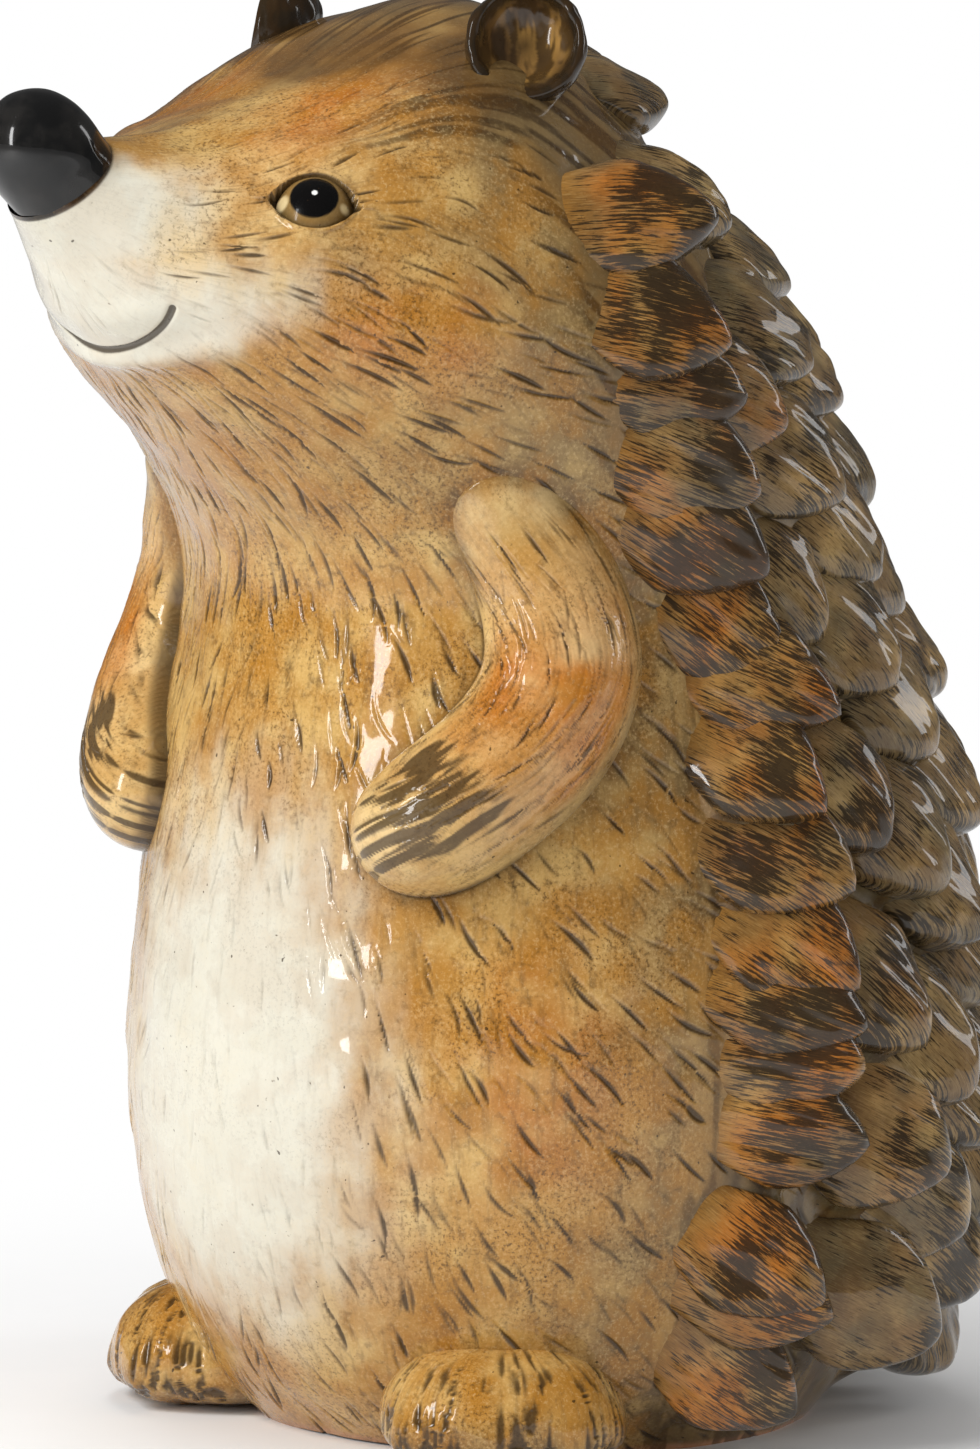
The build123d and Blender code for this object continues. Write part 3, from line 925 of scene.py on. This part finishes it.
def place_spines(node, spines, fringe):
    """One piece of several spines, given as station, angle, size and tilt."""
    tiles = int(np.ceil(np.sqrt(len(spines))))
    vertices, faces, uvs, values = [], [], [], []
    start = 0
    for number, (station, angle, size, tilt) in enumerate(spines):
        wander = rng.normal(0, 1, 2)
        station, angle = station + 0.025 * wander[0], angle + wander[1]
        flat, quads, uv, value = spine_shape(station, angle, size, tilt, fringe)
        vertices.append(flat)
        faces.append(quads + start)
        uvs.append((uv * 0.96 + 0.02 + np.array([number % tiles, number // tiles])) / tiles)
        values.append(value)
        start += len(flat)
    joined = {key: np.concatenate([value[key] for value in values]) for key in values[0]}
    vertices, faces = np.concatenate(vertices), np.concatenate(faces)
    mesh = piece_mesh(node + "_scales", vertices, faces, np.concatenate(uvs), joined)
    SPINE_PILE.append((vertices, faces))
    place(node + "_scales", mesh, SPINE, node)


def build_spines():
    for row in range(SPINE_ROWS):
        spines = []
        for station, angle in spine_places(row):
            spines.append((station, angle, blend(RING_HALF_WIDTH, station) / 84.0, SPINE_LIFT))
        place_spines(f"spine_row_{row + 1:02d}", spines, False)
    for hand, side in SIDES:
        spines = []
        for step in range(FRINGE_COUNT):
            station = FRINGE_STATIONS[0] + step * FRINGE_STATION_STEP
            spines.append((station, side * fringe_angle(station), FRINGE_SIZE, FRINGE_LIFT))
        place_spines(hand + "_fringe", spines, True)


def blurred(grid, reach):
    """A grid of values smoothed over a number of steps both ways."""
    steps = np.arange(-3 * reach, 3 * reach + 1)
    share = np.exp(-((steps / reach) ** 2) / 2)
    share /= share.sum()

    def smoothed(line):
        return np.convolve(np.pad(line, 3 * reach, "edge"), share, "valid")

    return np.apply_along_axis(smoothed, 1, np.apply_along_axis(smoothed, 0, grid))


def valley_floor():
    """Height of the soft clay that runs up between the spines, over the plain skin."""
    vertices = []
    faces = []
    start = 0
    for points, quads in SPINE_PILE:
        vertices.append(points)
        faces.append(quads + start)
        start += len(points)
    tree = BVHTree.FromPolygons(np.concatenate(vertices).tolist(), np.concatenate(faces).tolist())
    station, angle = np.meshgrid(VALLEY_STATIONS, VALLEY_ANGLES, indexing="ij")
    p, out, _, _ = skin_axes(station, angle)
    origins = (p + out * VALLEY_CAST).reshape(-1, 3)
    ways = -out.reshape(-1, 3)
    height = np.zeros(len(origins))
    for index in range(len(origins)):
        found = tree.ray_cast(origins[index], ways[index], VALLEY_CAST)
        if found[0] is not None:
            height[index] = VALLEY_CAST - found[3]
    height = height.reshape(station.shape)
    return np.clip(blurred(height, VALLEY_BLUR) - VALLEY_DEPTH, 0, None)


def valley_height(floor, station, angle):
    """The valley floor at any places on the skin."""
    i = (station - VALLEY_STATIONS[0]) / (VALLEY_STATIONS[1] - VALLEY_STATIONS[0])
    i = np.clip(i, 0, len(VALLEY_STATIONS) - 1.001)
    j = (np.mod(angle, 360) - VALLEY_ANGLES[0]) / (VALLEY_ANGLES[1] - VALLEY_ANGLES[0])
    inside = (j >= 0) & (j <= len(VALLEY_ANGLES) - 1)
    j = np.clip(j, 0, len(VALLEY_ANGLES) - 1.001)
    row, column = i.astype(int), j.astype(int)
    f, g = i - row, j - column
    low = floor[row, column] * (1 - g) + floor[row, column + 1] * g
    high = floor[row + 1, column] * (1 - g) + floor[row + 1, column + 1] * g
    return np.where(inside, low * (1 - f) + high * f, 0.0)


def build_arm(node, side):
    rows, columns = ARM_GRID
    stations, angles = np.linspace(7.1, 3.95, rows), np.linspace(17, 84, columns) * side
    station, angle = np.meshgrid(stations, angles, indexing="ij")
    plain, out, _, _ = skin_axes(station, angle)
    base = plain.reshape(-1, 3)
    normal = out.reshape(-1, 3)
    full, along, height, beside = arm_field(base, side)
    outer = melted(along, beside)
    rounding = 0.5 + 0.45 * outer
    swell = height * np.clip(full, 0, 1.05) ** rounding - ARM_SEAT_DEPTH * ease(0.04, ARM_EDGE, full)

    middle, _, step_station, step_angle = arm_frame(side)
    length = np.linalg.norm(np.diff(middle, axis=0), axis=1).sum()
    count = ARM_STROKES
    at = rng.uniform(0.06, 0.97, count)
    shift = rng.uniform(-15, 15, count)
    reach = rng.uniform(8, 24, count)
    lean = rng.normal(0, 0.14, count)
    s = np.linspace(-0.5, 0.5, STROKE_SAMPLES)[None]
    k = np.clip(at[:, None] + s * (reach / length)[:, None], 0, 1) * (ARM_SAMPLES - 1)
    c = shift[:, None] + s * (reach * lean)[:, None]
    order = np.arange(ARM_SAMPLES)
    line_station = np.interp(k, order, ARM_LINE[:, 0]) + c * np.interp(k, order, step_station)
    line_angle = np.interp(k, order, ARM_LINE[:, 1]) * side + c * np.interp(k, order, step_angle)
    width = rng.uniform(0.5, 0.95, count)
    depth = 0.12 + 0.42 * rng.random(count) ** 1.5
    cut, dark = groove_field(base, skin(line_station, line_angle), 2 * s + 0 * k, width, depth)
    dark = 0.8 * dark * ease(0.02, 0.2, full)

    tone = noise(base, 12.0, 53)
    small = noise(base, 5.0, 54)
    shaped = sculpt(plain, out, station, angle).reshape(-1, 3)
    under = shaped - normal * ARM_SEAT_DEPTH
    relief = swell + 0.5 * tone * np.clip(full, 0, 1) - cut * ease(-0.02, 0.05, full)
    shaped = shaped + normal * relief[:, None]
    paint = tint(PALE, BUFF, 0.55 + 0.5 * tone)
    warm = np.exp(-(((along - 0.48) / 0.26) ** 2)) * ease(0.1, 0.5, full)
    paint = tint(paint, RUST, warm * (0.8 + 0.35 * tone + 0.2 * small), 0.92)
    # Painted shade: umber darkens the arm's outer side, where it runs into the body, and its shoulder end.
    arm_shade = 0.9 * ease(0.6, 0.05, full) * outer + 0.25 * ease(0.3, 0.0, along)
    paint = tint(paint, UMBER, arm_shade * (0.75 + 0.4 * tone), 0.85)
    brush = noise(np.stack([beside * 1.15, along * length * 0.13, 0 * along], 1), 1.0, 55, 3)
    palm = ease(0.64, 0.80, along) * ease(0.25, 0.6, full) * ease(13, 3, beside)
    knuckle = ease(0.86, 0.97, along) * ease(0.5, 0.15, full)
    brushed = np.maximum(palm, 0.8 * knuckle)
    dark = np.maximum(dark, 1.1 * ease(0.1, 0.9, brushed * (0.75 + 1.3 * brush)))
    crease = ease(0.10, 0.01, full) * (1 - outer)
    paint = mix(paint, STAIN, crease * 0.9)
    flow = np.stack([beside * 0.6, along * length * 0.06, 0 * along + side], 1)
    bare = np.clip(0.25 + crease, 0, 0.85)
    values = {"Paint": paint, "Groove": np.clip(dark, 0, 1.3), "Flow": flow, "Bare": bare}
    quads, uv = grid_quads(rows, columns, False)
    seen = np.max(full[quads], axis=1) > ARM_EDGE
    if side < 0:
        quads = quads[:, ::-1]
        uv = uv.reshape(-1, 4, 2)[:, ::-1].reshape(-1, 2)
    uv = uv.reshape(-1, 4, 2)[seen].reshape(-1, 2)
    used, quads = np.unique(quads[seen], return_inverse=True)
    quads = quads.reshape(-1, 4)
    inner = np.flatnonzero(full[used] > ARM_EDGE)
    below = np.arange(len(used))
    below[inner] = len(used) + np.arange(len(inner))
    vertices = np.concatenate([shaped[used], under[used][inner]])
    both = np.concatenate([used, used[inner]])
    values = {key: data[both] for key, data in values.items()}
    quads = np.concatenate([quads, below[quads][:, ::-1]])
    half = np.array([0.5, 1.0])
    back_uv = uv.reshape(-1, 4, 2)[:, ::-1].reshape(-1, 2) * half + np.array([0.5, 0.0])
    uv = np.concatenate([uv * half, back_uv])
    mesh = piece_mesh(node + "_roll", vertices, quads, uv, values)
    place(node + "_roll", mesh, LIMB, node)


def build_foot(node, side):
    rows, columns = FOOT_GRID
    way = np.array([np.sin(np.radians(FOOT_ANGLE)) * side, -np.cos(np.radians(FOOT_ANGLE)), 0])
    across = np.array([-way[1], way[0], 0])
    rise = np.linspace(-0.5, 0.5, rows) * np.pi
    turn = np.linspace(-np.pi, np.pi, columns, endpoint=False)
    boxy = 0.78
    cu, su = np.cos(rise), np.sin(rise)
    x = 26.0 * (cu**boxy)[:, None] * squared(np.cos(turn), boxy)[None]
    y = 25.5 * (cu**boxy)[:, None] * squared(np.sin(turn), boxy)[None]
    z = FOOT_LEVEL + (np.where(su > 0, 18.5, FOOT_LEVEL) * squared(su, 0.9))[:, None] + 0 * x
    middle = way * FOOT_MIDDLE_REACH
    grid = middle + x[..., None] * way + y[..., None] * across + z[..., None] * UPWARD
    flat = grid.reshape(-1, 3)
    normal = grid_normals(grid)
    outward = flat - middle - FOOT_LEVEL * UPWARD
    normal = normal * np.sign(np.sum(normal * outward, axis=1, keepdims=True))
    toes = np.tile(np.cos(turn * 7.5) * ease(1.25, 0.9, np.abs(turn)), rows)
    toes = toes * np.repeat(ease(0.6, -0.2, su), columns)

    def surface(t, a):
        i = np.clip(np.round(t).astype(int), 0, rows - 1)
        j = np.mod(np.round((a + 180) / 360 * columns).astype(int), columns)
        return grid[i, j]

    count = FOOT_FRONT_STROKES + FOOT_TOP_STROKES
    at = np.concatenate([rng.uniform(46, 92, FOOT_FRONT_STROKES), rng.uniform(92, 128, FOOT_TOP_STROKES)])
    round_at = rng.uniform(-95, 95, count)
    length, slant, bow = rng.uniform(6, 13, count), rng.normal(0, 7, count), rng.normal(0, 8, count)
    scale = np.full(count, 0.36), np.full(count, 0.42)
    strokes = stroke_lines(surface, at, round_at, length, slant, bow, *scale)
    depth = [rng.uniform(0.45, 0.8, FOOT_FRONT_STROKES), rng.uniform(0.2, 0.5, FOOT_TOP_STROKES)]
    depth = np.concatenate(depth)
    cut, dark = groove_field(flat, *strokes, rng.uniform(1.0, 1.9, count), depth)
    tone = noise(flat, 10.0, 61)
    shaped = flat + normal * (0.5 * tone + 0.7 * toes - cut)[:, None]
    shaped[:, 2] = np.maximum(shaped[:, 2], 0.0)
    paint = tint(BUFF, OCHRE, 0.5 + 0.5 * tone)
    low = ease(15, 6, flat[:, 2]) * np.clip(0.55 + 0.6 * noise(flat, 5.0, 63), 0, 1)
    paint = mix(paint, UMBER, low * 0.85)
    reach = (flat - middle) @ way
    crease = ease(4, -8, reach) * 0.7
    paint = mix(paint, STAIN, crease)
    paint = mix(paint, CLAY, ease(1.2, 0.3, flat[:, 2]))
    flow = np.stack([np.tile(np.degrees(turn), rows) * 0.3, np.repeat(rise, columns), 0 * tone + side], 1)
    values = {"Paint": paint, "Groove": np.clip(dark, 0, 1.3), "Flow": flow, "Bare": 0 * tone}
    place_grid(node + "_toes", shaped, FOOT_GRID, True, values, LIMB, node)


def revolved(profile, columns, axes, middle):
    """Points of a profile of (radius, height) turned about an axis."""
    turn = np.linspace(0, 2 * np.pi, columns, endpoint=False)
    across, aside, up = axes
    ring = np.cos(turn)[None, :, None] * across + np.sin(turn)[None, :, None] * aside
    return middle + profile[:, 0, None, None] * ring + profile[:, 1, None, None] * up


def axes_about(up):
    up = unit(np.asarray(up, float))
    across = unit(np.cross(UPWARD, up))
    return across, np.cross(up, across), up


def build_ear(node, side):
    rows, columns = EAR_GRID
    outline = np.array([
        (0.02, -3.4), (4.0, -3.0), (7.2, -1.4), (9.4, 1.2), (10.6, 2.6), (11.6, 2.5),
        (12.2, 1.2), (12.3, -0.8), (11.8, -3.0), (10.0, -6.0), (6.0, -8.6), (0.02, -9.6),
    ])
    profile = limb_curve(outline, rows) * (EAR_RADIUS / 12.2)
    facing = np.array([np.sin(np.radians(50)) * side, -np.cos(np.radians(50)), 0.22])
    p, _, _, _ = axes_at(EAR_STATION, EAR_ANGLE * side)
    middle = p + np.array([0, 0, 4.0]) + unit(facing) * 2.5
    grid = revolved(profile, columns, axes_about(facing), middle)
    flat = grid.reshape(-1, 3)
    normal = grid_normals(grid)
    dents = np.clip(noise(flat * np.array([1, 1, 0.4]), 2.6, 73), 0, 1)
    shaped = flat + normal * (0.7 * noise(flat, 9.0, 71) - 0.5 * dents)[:, None]
    ring = np.repeat(np.linspace(0, 1, rows), columns)
    tone = noise(flat, 6.0, 75)
    paint = tint(UMBER, TAN, 0.15 + 0.6 * tone, 0.7)
    paint = tint(paint, CHARCOAL, ease(0.2, 0.3, ring) * (0.97 + 0.1 * tone), 0.97)
    brushed = ease(-0.45, 0.15, noise(flat * np.array([1, 1, 0.22]), 1.3, 77))
    paint = mix(paint, STAIN, 0.85 * brushed)
    paint = tint(paint, STAIN, ease(0.12, 0.0, ring) * 0.8)
    flow = flat * np.array([0.9, 0.9, 0.15])
    values = {"Paint": paint, "Groove": 0.25 * np.clip(tone, 0, 1), "Flow": flow, "Bare": 0 * ring + 1.0}
    place_grid(node + "_cup", shaped, EAR_GRID, True, values, EAR, node)


def build_nose():
    rows, columns = NOSE_GRID
    front, back = RING_FRONT[-1], RING_BACK[-1]
    middle = np.array([0, (front[0] + back[0]) / 2, (front[1] + back[1]) / 2])
    along = unit(np.array([0, back[0] - front[0], back[1] - front[1]]))
    up = np.cross(np.array([1.0, 0, 0]), along)
    h = np.linspace(0, 1, rows)
    radius = 11.8 * np.sqrt(np.clip(1 - (np.clip(h - 0.28, 0, 1) / 0.72) ** 2.5, 0, 1))
    profile = np.stack([np.maximum(radius, 0.05), -2.5 + (NOSE_HEIGHT + 2.5) * h], 1)
    grid = revolved(profile, columns, (np.array([1.0, 0, 0]), along, up), middle + along * 1.2)
    flat = grid.reshape(-1, 3)
    normal = grid_normals(grid)
    normal = normal * np.sign(np.sum(normal * (flat - middle), axis=1, keepdims=True))
    shaped = flat + normal * (0.3 * noise(flat, 8.0, 81))[:, None]
    skirt = np.repeat(ease(0.12, 0.0, h), columns) * noise(flat, 5.0, 83, 1)
    shaped = shaped - up * (1.1 * skirt)[:, None]
    place_grid("nose_button", shaped, NOSE_GRID, True, {"Flow": flat * 0.1}, BLACK, "nose")


def build_eye(node, side):
    rows, columns = EYE_GRID
    p, out, _, _ = axes_at(EYE_STATION, EYE_ANGLE * side)
    middle = p - out * (EYE_RADIUS - 2.3)
    polar = np.linspace(0.001, np.pi - 0.001, rows)
    profile = EYE_RADIUS * np.stack([np.sin(polar), np.cos(polar)], 1)
    grid = revolved(profile, columns, axes_about(out), middle)
    flat = grid.reshape(-1, 3)
    across, up, _ = eye_coordinates(flat, side)
    across = across * side
    pupil = np.hypot(across - 0.1, up - 0.6)
    paint = mix(linear(132, 104, 60), linear(92, 74, 42), ease(4.9, 7.4, pupil))
    spot = np.hypot((across + 6.3) / 1.5, (up + 0.6) / 2.0)
    spot = np.minimum(spot, np.hypot((across - 6.3) / 1.5, (up + 0.6) / 2.0) + 0.35)
    paint = mix(paint, linear(206, 186, 140), ease(1.1, 0.6, spot))
    paint = mix(paint, linear(13, 12, 12), ease(5.05, 4.75, pupil))
    glint = np.hypot((across - 0.2) / 0.6, (up - 0.9) / 0.6)
    paint = mix(paint, linear(235, 235, 232), ease(1.1, 0.8, glint))
    bare = ease(5.4, 4.6, pupil)
    values = {"Paint": paint, "Groove": 0 * pupil, "Flow": flat * 0.2, "Bare": np.clip(0.75 + bare, 0, 1)}
    place_grid(node + "_ball", flat, EYE_GRID, True, values, EYE, node)


def build_pair(part, build):
    for hand, side in SIDES:
        build(f"{hand}_{part}", side)


build_spines()
build_body()
build_pair("arm", build_arm)
build_pair("foot", build_foot)
build_pair("ear", build_ear)
build_nose()
build_pair("eye", build_eye)

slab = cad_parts["base_slab"]
slab.data.materials.clear()
slab.data.materials.append(BARE_CLAY)


# Studio: a pale floor, soft boxes and the camera

def area_light(name, place_at, aim, size, power, mirrored):
    data = bpy.data.lights.new(name, "AREA")
    data.shape = "RECTANGLE"
    data.size, data.size_y = size
    data.energy = power
    lamp = bpy.data.objects.new(name, data)
    lamp.location = place_at
    lamp.rotation_euler = (Vector(aim) - Vector(place_at)).to_track_quat("-Z", "Y").to_euler()
    lamp.visible_glossy = mirrored
    bpy.context.scene.collection.objects.link(lamp)


def build_studio():
    scene = bpy.context.scene
    azimuth, elevation = np.radians(AZIMUTH), np.radians(ELEVATION)
    level = np.cos(elevation)
    toward = Vector((np.sin(azimuth) * level, -np.cos(azimuth) * level, np.sin(elevation)))
    right = Vector((np.cos(azimuth), np.sin(azimuth), 0))
    up = toward.cross(right)
    aim = Vector((0, 0, 0.150)) - right * 0.0084 - up * 0.0056
    camera = bpy.data.objects.new("camera", bpy.data.cameras.new("camera"))
    camera.data.lens = CAMERA_LENS
    camera.data.sensor_width = 36.0
    camera.data.clip_end = 20.0
    camera.location = aim + toward * CAMERA_DISTANCE
    camera.rotation_euler = (-toward).to_track_quat("-Z", "Y").to_euler()
    scene.collection.objects.link(camera)
    scene.camera = camera

    # Each box: metres toward the camera, to the right and up from the aim, size, power, and if it mirrors
    boxes = (
        ("key_box", 0.75, -0.95, 0.95, (0.5, 0.6), 15.0, False),
        ("strip_box", 0.85, -1.0, 0.28, (0.16, 0.62), 5.0, True),
        ("edge_box", -0.35, 1.2, 0.55, (0.25, 0.8), 2.6, True),
        ("fill_box", 0.9, 1.1, 0.3, (0.7, 0.9), 3.0, False),
    )
    for name, ahead, aside, above, size, power, mirrored in boxes:
        area_light(name, aim + toward * ahead + right * aside + up * above, aim, size, power, mirrored)
    area_light("top_box", aim + Vector((0, 0, 1.3)) - toward * 0.5, aim, (0.6, 0.6), 4.5, False)

    floor_mesh = bpy.data.meshes.new("floor")
    floor_mesh.from_pydata([(-6, -6, 0), (6, -6, 0), (6, 6, 0), (-6, 6, 0)], [], [(0, 1, 2, 3)])
    floor = bpy.data.objects.new("floor", floor_mesh)
    scene.collection.objects.link(floor)
    paper, nodes, shader, place_on = new_material("floor_paper")
    tint = nodes.mix(nodes.noise(place_on, 30.0), (0.86, 0.86, 0.86), (0.90, 0.90, 0.90))
    nodes.join(tint, shader.inputs["Base Color"])
    nodes.join(0.9, shader.inputs["Roughness"])
    reach = nodes.add("VectorMath", operation="LENGTH")
    nodes.join(place_on, reach.inputs[0])
    far = nodes.ramp(reach.outputs["Value"], 0.10, 0.30)
    far = nodes.math("MULTIPLY", far, nodes.add("LightPath").outputs["Is Camera Ray"])
    faded = nodes.mix_shader(far, shader, nodes.add("Emission"))
    nodes.join(faded.outputs[0], nodes.tree.nodes["Material Output"].inputs["Surface"])
    floor_mesh.materials.append(paper)

    world = bpy.data.worlds.new("studio")
    scene.world = world
    world.use_nodes = True
    nodes = Nodes(world.node_tree)
    light = world.node_tree.nodes["Background"]
    room, seen = nodes.add("Background"), nodes.add("Background")
    for sky, strength in ((light, 0.42), (room, 0.08), (seen, 1.0)):
        nodes.join((1.0, 1.0, 1.0), sky.inputs["Color"])
        nodes.join(strength, sky.inputs["Strength"])
    ray = nodes.add("LightPath").outputs
    mirrored = nodes.mix_shader(ray["Is Glossy Ray"], light, room)
    shown = nodes.mix_shader(ray["Is Camera Ray"], mirrored, seen)
    nodes.join(shown.outputs[0], world.node_tree.nodes["World Output"].inputs["Surface"])
    scene.view_settings.view_transform = "Standard"


build_studio()
